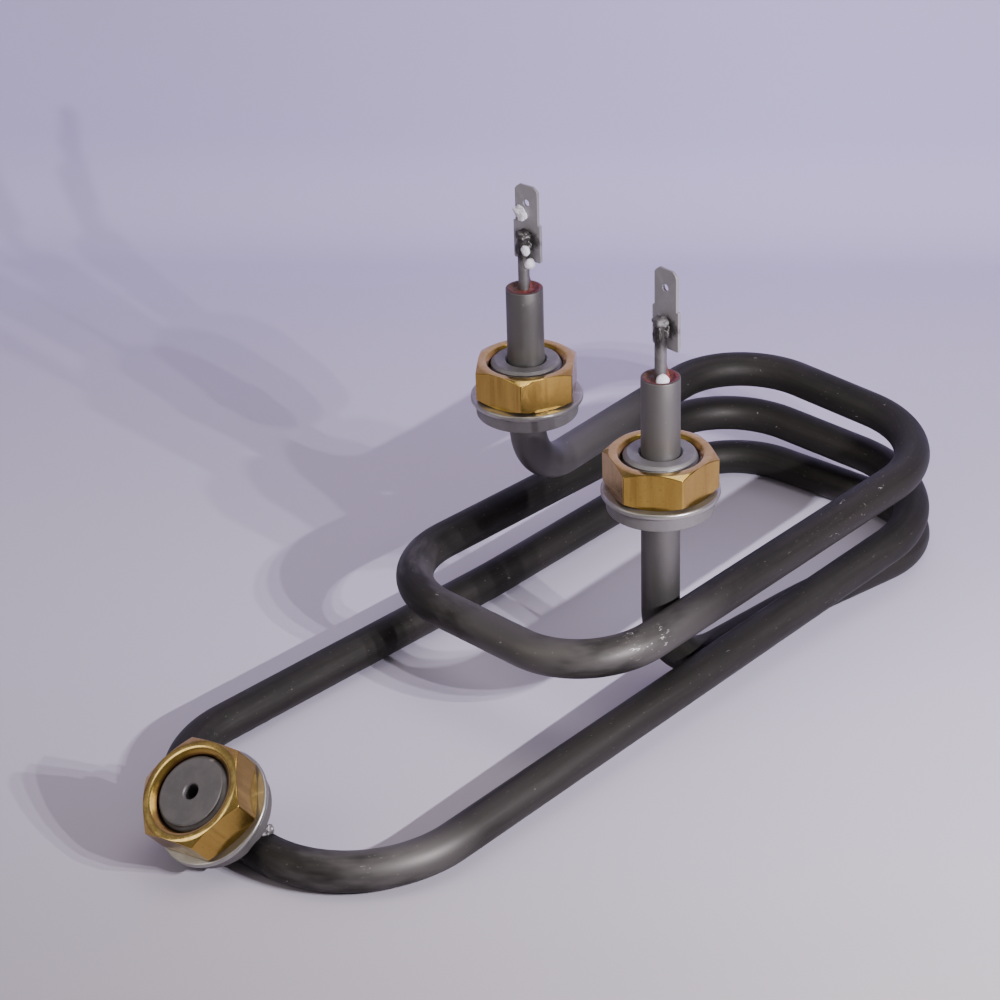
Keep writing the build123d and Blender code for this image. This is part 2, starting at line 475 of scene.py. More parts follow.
class EffectNodes(Nodes):
    """A node group that takes a place in its pattern and some numbers."""

    def __init__(self, name: str, *results: str, **numbers: float) -> None:
        """Opens the group.

        Args:
            name: Name of the group.
            *results: Names of its outputs.
            **numbers: Default of each number that it takes.
        """
        super().__init__(bpy.data.node_groups.new(name, "ShaderNodeTree"))
        face = self.tree.interface
        face.new_socket(name="Vector", in_out="INPUT", socket_type="NodeSocketVector")
        for key, default in numbers.items():
            socket = face.new_socket(name=key, in_out="INPUT", socket_type="NodeSocketFloat")
            socket.default_value = default
        for key in results:
            face.new_socket(name=key, in_out="OUTPUT", socket_type="NodeSocketFloat")
        self.given = self.tree.nodes.new("NodeGroupInput").outputs
        self.results = self.tree.nodes.new("NodeGroupOutput").inputs

    def grain(self, factor: float, detail: float, roughness: float) -> Socket:
        """Noise from 0 to 1 over the group's own vector, with a factor on the group's Scale."""
        scale = self.given["Scale"] if factor == 1 else self.times(self.given["Scale"], factor)
        return self.noise(self.given["Vector"], scale, detail, roughness)


class Effects:
    """Effects that several finishes share, each a node group that is built once."""

    def __init__(self) -> None:
        """Builds the groups."""
        self.mottle = self._mottle()
        self.streaks = self._streaks()
        self.scratches = self._scratches()
        self.blast = self._blast()
        self.worn_edges = self._worn_edges()

    def _mottle(self) -> bpy.types.NodeTree:
        """Soft uneven patches, as a Mask from 0 to 1.

        Returns:
            The group.
        """
        nodes = EffectNodes("mottle", "Mask", Scale=60.0)
        nodes.feed(nodes.results["Mask"], nodes.span(nodes.grain(1, 4, 0.6), 0.32, 0.68))
        return nodes.tree

    def _streaks(self) -> bpy.types.NodeTree:
        """Fine lines along the first axis of a drawn, milled or turned surface, as Mask and Height.

        Returns:
            The group.
        """
        nodes = EffectNodes("streaks", "Mask", "Height", Scale=900.0)
        drawn = nodes.stretched(nodes.given["Vector"], (0.03, 1.0, 1.0))
        fine = nodes.noise(drawn, nodes.given["Scale"], 2, 0.7)
        broad = nodes.noise(drawn, nodes.times(nodes.given["Scale"], 0.3), 2, 0.5)
        nodes.feed(nodes.results["Height"], nodes.plus(fine, broad))
        nodes.feed(nodes.results["Mask"], nodes.span(nodes.times(fine, broad), 0.15, 0.35))
        return nodes.tree

    def _scratches(self) -> bpy.types.NodeTree:
        """Thin wandering scratches in patches, as Lines, and Specks. Both are 1 on a mark.

        Returns:
            The group.
        """
        nodes = EffectNodes("scratches", "Lines", "Specks", Scale=260.0, Share=0.05)
        share = nodes.given["Share"]
        line = nodes.span(nodes.away(nodes.grain(1, 2, 0.5), 0.5), 0.004, 0.02, 1.0, 0.0)
        patches = nodes.span(nodes.plus(nodes.grain(0.6, 2, 0.6), share), 0.68, 0.78)
        chosen = nodes.times(patches, nodes.span(nodes.grain(2.2, 2, 0.6), 0.47, 0.56))
        nodes.feed(nodes.results["Lines"], nodes.times(line, chosen))
        grains = nodes.plus(nodes.grain(3.2, 2, 0.6), nodes.times(share, 0.3))
        nodes.feed(nodes.results["Specks"], nodes.span(grains, 0.68, 0.76))
        return nodes.tree

    def _blast(self) -> bpy.types.NodeTree:
        """Tiny craters of a bead-blasted or cast surface, as Height.

        Returns:
            The group.
        """
        nodes = EffectNodes("blast", "Height", Scale=2600.0)
        nodes.feed(nodes.results["Height"], nodes.plus(nodes.grain(1, 2, 0.6), nodes.grain(0.35, 2, 0.5)))
        return nodes.tree

    def _worn_edges(self) -> bpy.types.NodeTree:
        """Edges that handling has brightened, as a Mask that is 1 on a worn edge.

        Returns:
            The group.
        """
        nodes = EffectNodes("worn_edges", "Mask", Breakup=700.0)
        edge = nodes.span(nodes.add("NewGeometry").outputs["Pointiness"], 0.53, 0.66)
        broken = nodes.noise(nodes.given["Vector"], nodes.given["Breakup"], 2, 0.6)
        nodes.feed(nodes.results["Mask"], nodes.times(edge, nodes.span(broken, 0.2, 0.75, 0.4, 1.0)))
        return nodes.tree


class Surface(Nodes):
    """A new material with one principled shader."""

    def __init__(self, name: str) -> None:
        """Starts the material.

        Args:
            name: Name of the finish.
        """
        self.material = bpy.data.materials.new(name)
        self.material.use_nodes = True
        super().__init__(self.material.node_tree)

    def look(self, **values: object) -> bpy.types.Material:
        """Sets the shader's inputs.

        Args:
            **values: Value of each input, by name with underscores for spaces.

        Returns:
            The material.
        """
        shader = self.tree.nodes["Principled BSDF"]
        for key, value in values.items():
            self.feed(shader.inputs[key.replace("_", " ")], value)
        return self.material

    def place(self) -> Socket:
        """Place in the piece's own frame."""
        return self.add("TexCoord").outputs["Object"]

    def axis_distance(self, place: Socket) -> Socket:
        """Distance from the piece's third axis, in metres."""
        return self.measure("LENGTH", self.stretched(place, (1, 1, 0)))

    def bump(self, height: Socket, depth: float) -> Socket:
        """Bumped normal.

        Args:
            height: Height from 0 to 1.
            depth: Depth in millimetres.

        Returns:
            The normal.
        """
        node = self.add("Bump")
        for key, value in {"Strength": 1.0, "Distance": depth * MM, "Height": height}.items():
            self.feed(node.inputs[key], value)
        return node.outputs["Normal"]

    def patch(self, place: Socket, point: tuple, reach: float) -> Socket:
        """Uneven round patch about a point.

        Args:
            place: Place in the piece's own frame.
            point: Middle of the patch in millimetres.
            reach: Radius of the patch in millimetres.

        Returns:
            Mask of the patch.
        """
        away = self.measure("DISTANCE", place, [value * MM for value in point])
        uneven = self.times(self.noise(place, 700.0, 2, 0.6), reach * MM)
        waved = self.plus(away, self.minus(uneven, 0.5 * reach * MM))
        return self.span(waved, 0.45 * reach * MM, reach * MM, 0.9, 0.0)

    def turning_lines(self, place: Socket, per_mm: float) -> Socket:
        """Fine rings that a lathe tool leaves.

        Args:
            place: Place in the piece's own frame.
            per_mm: Rings in each millimetre.

        Returns:
            Height from 0 to 1.
        """
        ring = self.add("CombineXYZ")
        self.feed(ring.inputs[0], self.plus(self.axis_distance(place), self.part(place, "Z")))
        return self.noise(ring.outputs[0], per_mm / MM, 3, 0.7)


# Finishes


@dataclass(frozen=True)
class SheathFinish:
    """Tube annealed to a satin black and blasted grey near its cold ends.

    A zone is its middle and half length in millimetres along the tube, and its strength.
    """

    black: Colour = (0.0125, 0.0113, 0.0107)
    brown: Colour = (0.026, 0.0222, 0.0202)
    blasted: Colour = (0.15, 0.141, 0.139)
    dusty: Colour = (0.1, 0.091, 0.087)
    fleck: Colour = (0.62, 0.59, 0.56)
    gold: Colour = (0.3, 0.26, 0.21)
    soot: Colour = (0.006, 0.005, 0.005)
    rear_fade: tuple[float, float] = (46.0, 102.0)
    front_fade: tuple[float, float] = (35.0, 58.0)
    soot_reach: float = 18.2
    soot_edge: float = 2.0
    wave: float = 8.0
    scuffed: tuple[tuple[float, float, float], ...] = ((286.0, 9.0, 0.16), (976.0, 3.0, 0.2), (217.0, 24.0, 0.09))
    scuffed_side: tuple[float, float, float] = (0.0, 0.75, -0.65)
    dulled: tuple[tuple[float, float, float], ...] = ((728.0, 34.0, 1.0), (330.0, 70.0, 0.75), (285.0, 30.0, 0.4))

    def material(self, effects: Effects, length: float, stud_at: float) -> bpy.types.Material:
        """Builds the finish over the straightened tube.

        Args:
            effects: Shared effects.
            length: Length of the tube in millimetres.
            stud_at: Distance along the tube of the sensor stud, in millimetres.

        Returns:
            The material.
        """
        nodes = Surface("annealed_sheath")
        place = nodes.add("Attribute", attribute_name="straight").outputs["Vector"]
        along = nodes.part(place, "X")
        mottle = nodes.group(effects.mottle, Vector=nodes.stretched(place, (0.35, 1, 1)), Scale=75.0)["Mask"]
        waved = nodes.plus(along, nodes.times(nodes.minus(mottle, 0.5), self.wave * MM))
        rear = nodes.span(waved, self.rear_fade[0] * MM, self.rear_fade[1] * MM, 1.0, 0.0)
        front = nodes.span(waved, (length - self.front_fade[1]) * MM, (length - self.front_fade[0]) * MM)
        cold = nodes.larger(rear, front)

        fine = nodes.group(effects.mottle, Vector=place, Scale=420.0)["Mask"]
        drawn = nodes.group(effects.streaks, Vector=place, Scale=1400.0)
        dark = nodes.mix(nodes.times(mottle, 0.75), self.black, self.brown)
        dark = nodes.mix(nodes.times(fine, 0.25), dark, self.brown)
        dark = nodes.mix(nodes.times(drawn["Mask"], 0.35), dark, self.brown)
        smears = nodes.group(effects.mottle, Vector=nodes.stretched(place, (0.06, 1, 1)), Scale=300.0)["Mask"]
        dust = nodes.times(self.zones(nodes, along, self.dulled), nodes.span(mottle, 0.1, 0.9))
        dust = nodes.larger(dust, nodes.times(smears, 0.16))
        tone = nodes.mix(cold, nodes.mix(dust, dark, self.dusty), self.blasted)

        upper = nodes.span(nodes.measure("DOT_PRODUCT", place, self.scuffed_side), 1.2 * MM, 3.4 * MM)
        share = nodes.plus(nodes.times(self.zones(nodes, along, self.scuffed), upper), 0.01)
        marks = nodes.group(
            effects.scratches, Vector=nodes.stretched(place, (0.5, 1, 1)), Scale=620.0, Share=share
        )
        marked = nodes.times(marks["Lines"], 0.8)
        tone = nodes.mix(nodes.times(marks["Specks"], 0.28), tone, self.gold)
        tone = nodes.mix(marked, tone, self.fleck)
        away = nodes.away(waved, stud_at * MM)
        burnt = nodes.span(away, (self.soot_reach - self.soot_edge) * MM, self.soot_reach * MM, 0.95, 0.0)

        grit = nodes.group(effects.blast, Vector=place, Scale=2400.0)["Height"]
        height = nodes.plus(nodes.times(drawn["Height"], 0.35), nodes.times(grit, 0.6))
        height = nodes.minus(height, nodes.times(marked, 0.8))
        return nodes.look(
            Base_Color=nodes.mix(burnt, tone, self.soot),
            Roughness=nodes.plus(nodes.span(mottle, 0.0, 1.0, 0.62, 0.52), nodes.times(marked, -0.1)),
            Metallic=nodes.span(cold, 0.0, 1.0, 0.55, 0.85),
            Specular_IOR_Level=0.35,
            Normal=nodes.bump(height, 0.012),
        )

    def zones(self, nodes: Nodes, along: Socket, zones: tuple) -> Socket:
        """A number that rises in zones along the tube.

        Args:
            nodes: Nodes of the material.
            along: Distance along the tube in metres.
            zones: The zones.

        Returns:
            The number.
        """
        total = 0.0
        for middle, reach, strength in zones:
            away = nodes.away(along, middle * MM)
            total = nodes.plus(total, nodes.span(away, 0.3 * reach * MM, reach * MM, strength, 0.0))
        return total


@dataclass(frozen=True)
class SteelFinish:
    """Grey steel that is blasted, plated or scorched."""

    name: str
    colour: Colour
    stain: Colour
    roughness: float
    stain_share: float = 0.5
    metallic: float = 0.9
    grain: float = 0.012
    grain_scale: float = 2400.0
    mottle_scale: float = 260.0
    turned: bool = False
    edge: Colour = (0.6, 0.58, 0.57)
    scorch: Colour = (0.035, 0.031, 0.03)
    scorch_at: tuple[float, float, float] | None = None
    scorch_reach: float = 3.0

    def material(self, effects: Effects) -> bpy.types.Material:
        """Builds the finish.

        Args:
            effects: Shared effects.

        Returns:
            The material.
        """
        nodes = Surface(self.name)
        place = nodes.place()
        mottle = nodes.group(effects.mottle, Vector=place, Scale=self.mottle_scale)["Mask"]
        edges = nodes.group(effects.worn_edges, Vector=place, Breakup=900.0)["Mask"]
        tone = nodes.mix(nodes.times(mottle, self.stain_share), self.colour, self.stain)
        tone = nodes.mix(nodes.times(edges, 0.5), tone, self.edge)
        if self.scorch_at:
            tone = nodes.mix(nodes.patch(place, self.scorch_at, self.scorch_reach), tone, self.scorch)
        rough = nodes.span(mottle, 0.0, 1.0, self.roughness, self.roughness + 0.12)
        height = nodes.group(effects.blast, Vector=place, Scale=self.grain_scale)["Height"]
        if self.turned:
            height = nodes.plus(height, nodes.turning_lines(place, 3.0))
        return nodes.look(
            Base_Color=tone,
            Roughness=nodes.minus(rough, nodes.times(edges, 0.08)),
            Metallic=self.metallic,
            Normal=nodes.bump(height, self.grain),
        )


@dataclass(frozen=True)
class BrassFinish:
    """Milled and turned brass with a warm tarnish, with painted reflections and painted shade."""

    flat: Colour = (0.46, 0.305, 0.075)
    # Painted reflection: the end faces get a paler, lighter copy of the brass colour than the flats.
    face: Colour = (0.66, 0.47, 0.17)
    tarnish: Colour = (0.34, 0.2, 0.045)
    # Painted reflection: dark bands on the flats.
    painted_reflection_band: Colour = (0.2, 0.12, 0.03)
    spot: Colour = (0.12, 0.06, 0.02)
    # Painted shade: dark tone for the bore and the inner edge of the countersink.
    bore: Colour = (0.13, 0.055, 0.022)
    edge: Colour = (0.85, 0.68, 0.36)
    roughness: float = 0.13
    bore_radii: tuple[float, float] = (8.45, 8.9)

    def material(self, effects: Effects) -> bpy.types.Material:
        """Builds the finish, with milling streaks on the flats and turning rings on the faces, a painted reflection
        that makes the end faces paler than the flats, painted dark reflections in bands on the flats and painted
        shade in the bore.

        Args:
            effects: Shared effects.

        Returns:
            The material.
        """
        nodes = Surface("nut_brass")
        place = nodes.place()
        tall = nodes.stretched(place, (1, 1, 0.35))
        mottle = nodes.group(effects.mottle, Vector=tall, Scale=330.0)["Mask"]
        upright = nodes.stretched(place, (1, 1, 1), 90)
        lines = nodes.group(effects.streaks, Vector=upright, Scale=1500.0)
        spots = nodes.group(effects.mottle, Vector=place, Scale=1500.0)["Mask"]
        edges = nodes.group(effects.worn_edges, Vector=place, Breakup=500.0)["Mask"]
        slope = nodes.part(nodes.add("TexCoord").outputs["Normal"], "Z")
        level = nodes.span(nodes.away(slope), 0.75, 0.98)
        # Painted reflection: faces that point up or down take the paler face colour.
        tone = nodes.mix(level, self.flat, self.face)
        tone = nodes.mix(nodes.times(mottle, nodes.span(level, 0.0, 1.0, 0.35, 0.15)), tone, self.tarnish)
        tone = nodes.mix(nodes.times(lines["Mask"], 0.3), tone, self.tarnish)
        # Painted reflection: long upright dark bands on the flats only.
        bands = nodes.noise(nodes.stretched(place, (1, 1, 0.06)), 420.0, 3, 0.65)
        banded = nodes.times(nodes.span(bands, 0.5, 0.68, 0.0, 0.42), nodes.minus(1.0, level))
        tone = nodes.mix(banded, tone, self.painted_reflection_band)
        tone = nodes.mix(nodes.span(spots, 0.9, 1.0, 0.0, 0.25), tone, self.spot)
        tone = nodes.mix(nodes.times(edges, 0.35), tone, self.edge)
        # Painted shade: the bore and the inner edge of the countersink are darkened.
        inner, outer = (radius * MM for radius in self.bore_radii)
        bore_shade = nodes.span(nodes.axis_distance(place), inner, outer, 0.85, 0.0)
        rough = nodes.span(mottle, 0.0, 1.0, self.roughness, self.roughness + 0.09)
        rings = nodes.times(nodes.turning_lines(place, 2.0), 0.3)
        return nodes.look(
            Base_Color=nodes.mix(bore_shade, tone, self.bore),
            Roughness=nodes.plus(rough, nodes.times(spots, 0.03)),
            Metallic=1.0,
            Normal=nodes.bump(nodes.plus(nodes.times(lines["Height"], 0.6), rings), 0.0035),
        )


@dataclass(frozen=True)
class ResinFinish:
    """Dark red sealing resin with brown patches."""

    red: Colour = (0.12, 0.014, 0.018)
    pale: Colour = (0.23, 0.042, 0.045)
    brown: Colour = (0.07, 0.03, 0.008)
    brown_side: tuple[float, float, float] = (0.2, 2.3, -0.3)
    brown_reach: float = 4.6

    def material(self, effects: Effects) -> bpy.types.Material:
        """Builds the finish.

        Args:
            effects: Shared effects.

        Returns:
            The material.
        """
        nodes = Surface("sealing_resin")
        place = nodes.place()
        mottle = nodes.group(effects.mottle, Vector=place, Scale=520.0)["Mask"]
        specks = nodes.group(effects.mottle, Vector=place, Scale=1700.0)["Mask"]
        tone = nodes.mix(nodes.times(mottle, 0.6), self.red, self.pale)
        tone = nodes.mix(nodes.span(specks, 0.7, 1.0, 0.0, 0.6), tone, self.brown)
        return nodes.look(
            Base_Color=nodes.mix(nodes.patch(place, self.brown_side, self.brown_reach), tone, self.brown),
            Roughness=nodes.span(mottle, 0.0, 1.0, 0.35, 0.6),
            Normal=nodes.bump(nodes.plus(mottle, specks), 0.12),
        )


@dataclass(frozen=True)
class PowderFinish:
    """Pale mineral powder, pressed or caked into crumbs."""

    name: str
    pale: Colour = (0.78, 0.75, 0.83)
    shade: Colour = (0.6, 0.57, 0.62)

    def material(self, effects: Effects) -> bpy.types.Material:
        """Builds the finish.

        Args:
            effects: Shared effects.

        Returns:
            The material.
        """
        nodes = Surface(self.name)
        place = nodes.place()
        mottle = nodes.group(effects.mottle, Vector=place, Scale=900.0)["Mask"]
        grain = nodes.group(effects.blast, Vector=place, Scale=3000.0)["Height"]
        return nodes.look(
            Base_Color=nodes.mix(mottle, self.pale, self.shade),
            Roughness=0.85,
            Normal=nodes.bump(grain, 0.06),
        )


class Finishes:
    """Every finish of the element that needs no measure of the tube, built once."""

    def __init__(self, effects: Effects) -> None:
        """Builds the finishes.

        Args:
            effects: Shared effects.
        """

        def steel(name: str, *look: object, **more: object) -> bpy.types.Material:
            """Builds a steel finish."""
            return SteelFinish(name, *look, **more).material(effects)

        self.stud = steel("blasted_stud", (0.215, 0.202, 0.205), (0.165, 0.154, 0.156), 0.46, metallic=0.7)
        self.sensor_stud = steel("darkened_stud", (0.15, 0.138, 0.14), (0.11, 0.1, 0.1), 0.5, metallic=0.7)
        # The washer's warm brown mottle is partly stain and partly painted reflection of the brass nut.
        self.washer = steel(
            "plated_washer", (0.38, 0.365, 0.355), (0.28, 0.25, 0.215), 0.3, grain=0.005, mottle_scale=420.0,
            turned=True,
        )
        self.tab = steel(
            "dull_tab", (0.285, 0.268, 0.283), (0.25, 0.235, 0.247), 0.5, stain_share=0.3, metallic=0.55, grain=0.002,
            mottle_scale=300.0, edge=(0.36, 0.34, 0.36), scorch_at=(1.3, -1.1, 11.2), scorch_reach=3.1,
        )
        self.pin = steel(
            "grey_pin", (0.2, 0.188, 0.192), (0.12, 0.112, 0.112), 0.42, metallic=0.75, grain=0.006,
            mottle_scale=500.0, scorch_at=(0.0, 0.0, 9.6), scorch_reach=4.2,
        )
        self.ridge = steel(
            "bright_weld", (0.155, 0.146, 0.15), (0.1, 0.093, 0.093), 0.6, metallic=0.7, grain=0.006,
            mottle_scale=700.0, edge=(0.19, 0.18, 0.184),
        )
        self.weld = steel(
            "scorched_weld", (0.13, 0.12, 0.119), (0.022, 0.019, 0.018), 0.44, stain_share=0.8, grain=0.03,
            grain_scale=1200.0, mottle_scale=600.0, edge=(0.24, 0.23, 0.23),
        )
        self.bead = steel(
            "bright_bead", (0.22, 0.208, 0.213), (0.08, 0.073, 0.073), 0.52, metallic=0.75, grain=0.02,
            grain_scale=1500.0, edge=(0.3, 0.285, 0.29),
        )
        self.wire = steel("heating_wire", (0.35, 0.33, 0.31), (0.24, 0.22, 0.2), 0.35)
        self.brass = BrassFinish().material(effects)
        self.resin = ResinFinish().material(effects)
        self.crumb = PowderFinish("white_crumb").material(effects)
        self.magnesia = PowderFinish("pressed_magnesia", (0.8, 0.79, 0.75), (0.7, 0.69, 0.66)).material(effects)


def dress(piece: bpy.types.Object, material: bpy.types.Material, slot: Slot, *nodes: str) -> None:
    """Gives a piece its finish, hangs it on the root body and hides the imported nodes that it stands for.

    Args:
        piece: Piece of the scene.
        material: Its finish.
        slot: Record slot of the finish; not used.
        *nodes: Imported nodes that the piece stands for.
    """
    piece.data.materials.clear()
    piece.data.materials.append(material)
    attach(piece, "root")
    if nodes:
        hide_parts(*nodes)
    log.info("%s: %d faces", piece.name, len(piece.data.polygons))


# Sheath


@dataclass(frozen=True)
class Bend:
    """Corner of the tube's centre line in millimetres, and the radius that rounds it."""

    x: float
    y: float
    z: float
    radius: float

    def corner(self) -> Vector:
        """The corner."""
        return Vector((self.x, self.y, self.z))


@dataclass
class SheathTube:
    """The bent sheath, swept along straight runs and arcs from the rear terminal to the front one."""

    effects: Effects
    radius: float = 4.25
    bore: float = 3.45
    rim: float = 0.18
    rim_steps: tuple[float, ...] = (0, 0.5, 1.0, 1.57)
    mouth_height: float = 79.3
    columns: int = 56
    arc_step: float = 1.1
    run_step: float = 7.0
    bends: tuple[Bend, ...] = (
        Bend(116.8, 27.2, 30.9, 13.4),
        Bend(199.3, 34.3, 30.9, 20.4),
        Bend(199.3, -34.3, 27.7, 24.7),
        Bend(69.4, -34.15, 23.2, 19.3),
        Bend(72.8, 34.15, 21.1, 24.4),
        Bend(198.2, 36.35, 17.5, 21.1),
        Bend(201.6, -36.35, 13.8, 27.9),
        Bend(130.0, -34.85, 9.3, 200.0),
        Bend(-1.7, -35.15, 4.25, 27.4),
        Bend(1.7, 35.15, 4.25, 25.1),
        Bend(109.0, 33.15, 4.25, 200.0),
        Bend(198.7, 36.2, 4.25, 19.0),
        Bend(202.1, -36.2, 4.25, 21.0),
        Bend(150.5, -28.3, 4.25, 200.0),
        Bend(102.3, -25.6, 4.25, 18.6),
    )

    def shift(self) -> Vector:
        """Way from the bends' own frame to the row frame in millimetres, read from the rear pin."""
        way = box_centre("terminal_pin_rear") - self.bends[0].corner()
        return Vector((way.x, way.y, 0))

    def stations(self) -> np.ndarray:
        """Points along the centre line.

        Returns:
            Points in millimetres, in the row frame.
        """
        corners = [bend.corner() + self.shift() for bend in self.bends]
        mouths = [Vector((corner.x, corner.y, self.mouth_height)) for corner in (corners[0], corners[-1])]
        chain = [mouths[0], *corners, mouths[1]]
        points = [chain[0]]
        for index, bend in enumerate(self.bends, start=1):
            back = (chain[index - 1] - chain[index]).normalized()
            ahead = (chain[index + 1] - chain[index]).normalized()
            half = back.angle(ahead) / 2
            start = chain[index] + back * (bend.radius / math.tan(half))
            middle = chain[index] + (back + ahead).normalized() * bend.radius / math.sin(half)
            self._run(points, start)
            turn = math.pi - 2 * half
            count = max(2, math.ceil(bend.radius * turn / self.arc_step))
            axis = (start - middle).cross(-back)
            for step in range(1, count + 1):
                points.append(middle + Matrix.Rotation(turn * step / count, 3, axis) @ (start - middle))
        self._run(points, chain[-1])
        return np.array([tuple(point) for point in points])

    def _run(self, points: list[Vector], end: Vector) -> None:
        """Adds a straight run to the points.

        Args:
            points: Points so far, which the run goes on from.
            end: Where the run ends.
        """
        start = points[-1].copy()
        count = max(1, math.ceil((end - start).length / self.run_step))
        for step in range(1, count + 1):
            points.append(start.lerp(end, step / count))

    def sections(self, last: int) -> np.ndarray:
        """Rings of the skin: outside, front rim, bore and rear rim.

        Args:
            last: Number of the last station.

        Returns:
            Station, radius and inset along the tube of each ring.
        """
        rounding = [
            (self.radius - self.rim * (1 - math.cos(angle)), self.rim * (math.sin(angle) - 1))
            for angle in self.rim_steps
        ]
        lip = rounding + [(self.radius + self.bore - radius, inset) for radius, inset in reversed(rounding)]
        rings = [(index, self.radius, 0.0) for index in range(1, last)]
        rings += [(last, radius, inset) for radius, inset in lip]
        rings += [(index, self.bore, 0.0) for index in range(last - 1, 0, -1)]
        rings += [(0, radius, -inset) for radius, inset in reversed(lip)]
        return np.array(rings)

    def build(self) -> None:
        """Builds the tube as one closed skin, with each point's place on the straightened tube."""
        centres = self.stations()
        along = np.concatenate([[0], np.cumsum(np.linalg.norm(np.diff(centres, axis=0), axis=1))])
        ways = np.gradient(centres, axis=0)
        ways /= np.linalg.norm(ways, axis=1)[:, None]
        side = Vector((1, 0, 0))
        sides = []
        for way in map(Vector, ways):
            side = (side - way * side.dot(way)).normalized()
            sides.append(tuple(side))
        sides = np.array(sides)
        others = np.cross(ways, sides)

        station, radii, insets = self.sections(len(centres) - 1).T[:, :, None]
        index = station[:, 0].astype(int)
        across = radii * np.cos(around(self.columns))
        over = radii * np.sin(around(self.columns))
        middle = (centres[index] + ways[index] * insets)[:, None]
        points = middle + across[:, :, None] * sides[index][:, None] + over[:, :, None] * others[index][:, None]
        straight = np.stack([np.broadcast_to(along[index][:, None] + insets, across.shape), across, over], axis=2)
        faces = ring_faces(*across.shape)
        tube = mesh_object("bent_sheath", points.reshape(-1, 3), faces, Matrix.Identity(4))
        places = tube.data.attributes.new("straight", "FLOAT_VECTOR", "POINT")
        places.data.foreach_set("vector", (straight * MM).ravel())

        stud = np.array(box_centre("sensor_stud"))
        stud_at = along[np.argmin(np.linalg.norm(centres - stud, axis=1))]
        log.info("sheath: %.0f mm long, stud at %.0f mm", along[-1], stud_at)
        dress(tube, SheathFinish().material(self.effects, along[-1], stud_at), Slot.SHEATH, "sheath_tube")


# Fittings


@dataclass
class Thread:
    """A fine pipe thread, 19 turns to 25.4 mm."""

    crest: float = 8.2
    depth: float = 0.86
    pitch: float = 25.4 / 19

    def radius(self, angles: np.ndarray, heights: np.ndarray) -> np.ndarray:
        """Radius of the thread's surface.

        Args:
            angles: Angles round the axis in radians, one column each.
            heights: Heights in millimetres, one row each.

        Returns:
            Radii in rows and columns.
        """
        phase = (heights[:, None] / self.pitch - angles[None, :] / (2 * math.pi)) % 1
        ridge = np.abs(2 * phase - 1)
        return self.crest - self.depth * (1 - ridge * ridge * (3 - 2 * ridge))


@dataclass
class Stud:
    """A flanged stud with a threaded stem."""

    name: str
    node: str
    place: Matrix
    finish: bpy.types.Material
    inner: list
    stem_length: float
    foot_radius: float
    flange_thickness: float
    flange_radius: float = 11.75
    stem_radius: float = 8.2
    chamfer: float = 0.9
    relief: float = 1.0
    columns: int = 120
    rows_per_turn: int = 12

    def build(self) -> None:
        """Builds the stud."""
        seat = self.flange_thickness
        top = seat + self.stem_length
        thread = Thread(self.stem_radius)
        root = self.stem_radius - thread.depth
        below = eased(
            (self.foot_radius, 0, 0),
            (self.flange_radius, 0, 0.45),
            (self.flange_radius, seat, 0.35),
            (root, seat, 0.3),
            (root, seat + self.relief, 0),
        )
        above = eased((self.stem_radius - self.chamfer, top, 0.12), *self.inner)
        angles = around(self.columns)
        heights = np.arange(seat + self.relief, top, thread.pitch / self.rows_per_turn)[1:]
        limit = self.stem_radius - np.clip(heights - (top - self.chamfer), 0, None)
        wound = np.minimum(thread.radius(angles, heights), limit[:, None])
        rings = [np.full((self.columns, 2), row) for row in below]
        rings += [np.stack([radii, np.full(self.columns, height)], axis=1) for radii, height in zip(wound, heights)]
        rings += [np.full((self.columns, 2), row) for row in above]
        stud = ring_piece(self.name, np.array(rings), angles, self.place)
        dress(stud, self.finish, Slot.STUD, self.node)


@dataclass
class HexNut:
    """A chamfered hexagon nut with softened edges."""

    name: str
    node: str
    place: Matrix
    finish: bpy.types.Material
    turn: float
    height: float
    across_flats: float = 22.0
    bore: float = 8.3
    sink_radius: float = 9.45
    chamfer_radius: float = 10.95
    chamfer_angle: float = 30.0
    corner: float = 0.45
    corner_steps: int = 6
    flat_steps: int = 12
    ease: float = 0.16
    soft: float = 0.5

    def outline(self) -> list[tuple[float, float]]:
        """Rounded hexagon seen from above.

        Returns:
            Angle and radius of each point.
        """
        reach = (self.across_flats / 2 - self.corner) / math.cos(math.radians(30))
        points = []
        for side in range(6):
            middle = 60 * side + self.turn
            for step in range(self.corner_steps + 1):
                angle = middle + 60 * step / self.corner_steps - 30
                points.append(heading(middle) * reach + heading(angle) * self.corner)
            start = points[-1]
            end = heading(middle + 60) * reach + heading(middle + 30) * self.corner
            for step in range(1, self.flat_steps):
                points.append(start.lerp(end, step / self.flat_steps))
        return [(math.atan2(point.y, point.x), point.length) for point in points]

    def section(self, reach: float) -> np.ndarray:
        """Section of the nut where its side lies at a given radius.

        Args:
            reach: Radius of the side.

        Returns:
            Rows of radius and height.
        """
        drop = (reach - self.chamfer_radius) * math.tan(math.radians(self.chamfer_angle))
        sink = self.sink_radius - self.bore
        return eased(
            (self.bore, sink, self.ease),
            (self.sink_radius, 0, self.soft),
            (self.chamfer_radius, 0, self.soft),
            (reach, drop, self.ease),
            (reach, self.height - drop, self.ease),
            (self.chamfer_radius, self.height, self.soft),
            (self.sink_radius, self.height, self.soft),
            (self.bore, self.height - sink, self.ease),
        )

    def build(self) -> None:
        """Builds the nut."""
        outline = self.outline()
        rings = np.array([self.section(reach) for angle, reach in outline]).transpose(1, 0, 2)
        angles = np.array([angle for angle, reach in outline])
        dress(ring_piece(self.name, rings, angles, self.place), self.finish, Slot.BRASS, self.node)


